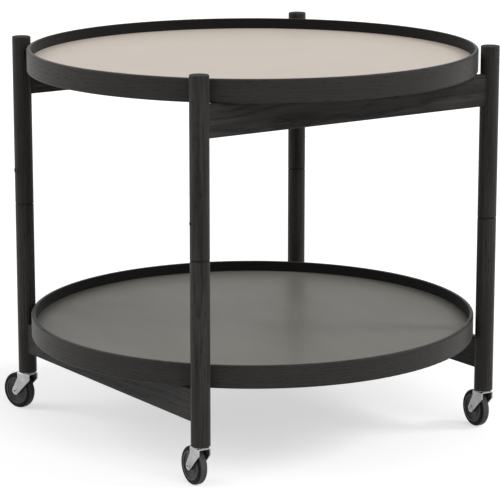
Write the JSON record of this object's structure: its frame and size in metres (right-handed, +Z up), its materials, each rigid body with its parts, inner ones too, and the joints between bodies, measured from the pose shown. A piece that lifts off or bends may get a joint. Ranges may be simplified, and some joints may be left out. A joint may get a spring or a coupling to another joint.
{
  "type": "folding tray trolley",
  "caption": "Round serving trolley: lift-off trays with low wooden rims, one high and one low, on a folding frame of split round legs and rails, with swivel casters.",
  "frame": {"origin": "middle of the floor under the trolley, on the floor", "axes": "+Z up; +X along the upper rails, from the left legs to the right legs; +Y along the lower rails, from the front legs to the back legs"},
  "size_m": [0.6, 0.6, 0.522],
  "materials": {
    "black_oak": "black-stained oak, satin lacquer",
    "beige_laminate": "warm beige laminate, matt",
    "grey_laminate": "grey laminate, matt",
    "backing_laminate": "dark backing laminate, matt",
    "panel_core": "birch ply core, bare",
    "pivot_steel": "turned steel",
    "washer_plastic": "black nylon",
    "screw_steel": "blackened steel",
    "zinc_plate": "bright zinc plate",
    "wheel_plastic": "dark moulded plastic",
    "tyre_rubber": "dark rubber"
  },
  "bodies": {
    "lower_left_frame": {"front_left_lower_leg": "black_oak", "back_left_lower_leg": "black_oak", "left_lower_rail": "black_oak", "front_left_pivot_pin": "pivot_steel", "front_left_seam_washer": "washer_plastic", "front_left_caster_socket": "zinc_plate", "back_left_pivot_pin": "pivot_steel", "back_left_seam_washer": "washer_plastic", "back_left_caster_socket": "zinc_plate"},
    "upper_front_frame": {"front_left_upper_leg": "black_oak", "front_right_upper_leg": "black_oak", "front_upper_rail": "black_oak", "front_retaining_screws": "screw_steel"},
    "lower_right_frame": {"front_right_lower_leg": "black_oak", "back_right_lower_leg": "black_oak", "right_lower_rail": "black_oak", "front_right_pivot_pin": "pivot_steel", "front_right_seam_washer": "washer_plastic", "front_right_caster_socket": "zinc_plate", "back_right_pivot_pin": "pivot_steel", "back_right_seam_washer": "washer_plastic", "back_right_caster_socket": "zinc_plate"},
    "upper_back_frame": {"back_left_upper_leg": "black_oak", "back_right_upper_leg": "black_oak", "back_upper_rail": "black_oak", "back_retaining_screws": "screw_steel"},
    "lower_tray": {"lower_tray_rim": "black_oak", "lower_tray_core": "panel_core", "lower_tray_top_laminate": "grey_laminate", "lower_tray_bottom_laminate": "backing_laminate"},
    "upper_tray": {"upper_tray_rim": "black_oak", "upper_tray_core": "panel_core", "upper_tray_top_laminate": "beige_laminate", "upper_tray_bottom_laminate": "backing_laminate"},
    "front_left_swivel": {"front_left_caster_stem": "zinc_plate", "front_left_caster_fork": "zinc_plate", "front_left_caster_axle": "zinc_plate"},
    "front_left_roller": {"front_left_wheel": "wheel_plastic", "front_left_tyre": "tyre_rubber"},
    "front_right_swivel": {"front_right_caster_stem": "zinc_plate", "front_right_caster_fork": "zinc_plate", "front_right_caster_axle": "zinc_plate"},
    "front_right_roller": {"front_right_wheel": "wheel_plastic", "front_right_tyre": "tyre_rubber"},
    "back_left_swivel": {"back_left_caster_stem": "zinc_plate", "back_left_caster_fork": "zinc_plate", "back_left_caster_axle": "zinc_plate"},
    "back_left_roller": {"back_left_wheel": "wheel_plastic", "back_left_tyre": "tyre_rubber"},
    "back_right_swivel": {"back_right_caster_stem": "zinc_plate", "back_right_caster_fork": "zinc_plate", "back_right_caster_axle": "zinc_plate"},
    "back_right_roller": {"back_right_wheel": "wheel_plastic", "back_right_tyre": "tyre_rubber"}
  },
  "joints": [
    {"name": "frame_fold", "type": "hinge", "parent": "lower_left_frame", "child": "upper_front_frame", "pos_m": [-0.2295, -0.2165, 0.292], "axis": [0, 0, 1], "range_deg": [-0.48, 0.48]},
    {"name": "front_right_pivot", "type": "hinge", "parent": "upper_front_frame", "child": "lower_right_frame", "pos_m": [0.2295, -0.2165, 0.292], "axis": [0, 0, 1], "range_deg": [-0.48, 0.48]},
    {"name": "back_left_pivot", "type": "hinge", "parent": "lower_left_frame", "child": "upper_back_frame", "pos_m": [-0.2295, 0.2165, 0.292], "axis": [0, 0, 1], "range_deg": [-0.48, 0.48]},
    {"name": "lower_tray_lift", "type": "slide", "parent": "lower_left_frame", "child": "lower_tray", "axis": [0, 0, 1], "range_m": [0, 0.28]},
    {"name": "upper_tray_lift", "type": "slide", "parent": "upper_front_frame", "child": "upper_tray", "axis": [0, 0, 1], "range_m": [0, 0.06]},
    {"name": "front_left_caster_swivel", "type": "hinge", "parent": "lower_left_frame", "child": "front_left_swivel", "pos_m": [-0.2295, -0.2165, 0.053], "axis": [0, 0, 1], "continuous": true},
    {"name": "front_left_wheel_roll", "type": "hinge", "parent": "front_left_swivel", "child": "front_left_roller", "pos_m": [-0.2284, -0.20003, 0.025], "axis": [0.9978, -0.0663, 0], "continuous": true},
    {"name": "front_right_caster_swivel", "type": "hinge", "parent": "lower_right_frame", "child": "front_right_swivel", "pos_m": [0.2295, -0.2165, 0.053], "axis": [0, 0, 1], "continuous": true},
    {"name": "front_right_wheel_roll", "type": "hinge", "parent": "front_right_swivel", "child": "front_right_roller", "pos_m": [0.23116, -0.20008, 0.025], "axis": [0.9949, -0.1011, 0], "continuous": true},
    {"name": "back_left_caster_swivel", "type": "hinge", "parent": "lower_left_frame", "child": "back_left_swivel", "pos_m": [-0.2295, 0.2165, 0.053], "axis": [0, 0, 1], "continuous": true},
    {"name": "back_left_wheel_roll", "type": "hinge", "parent": "back_left_swivel", "child": "back_left_roller", "pos_m": [-0.23438, 0.23226, 0.025], "axis": [0.9553, 0.2957, 0], "continuous": true},
    {"name": "back_right_caster_swivel", "type": "hinge", "parent": "lower_right_frame", "child": "back_right_swivel", "pos_m": [0.2295, 0.2165, 0.053], "axis": [0, 0, 1], "continuous": true},
    {"name": "back_right_wheel_roll", "type": "hinge", "parent": "back_right_swivel", "child": "back_right_roller", "pos_m": [0.22806, 0.23293, 0.025], "axis": [0.9962, 0.0872, 0], "continuous": true}
  ],
  "couplings": [
    {"joint": "front_right_pivot", "follows": "frame_fold", "ratio": -1},
    {"joint": "back_left_pivot", "follows": "frame_fold", "ratio": 1}
  ]
}
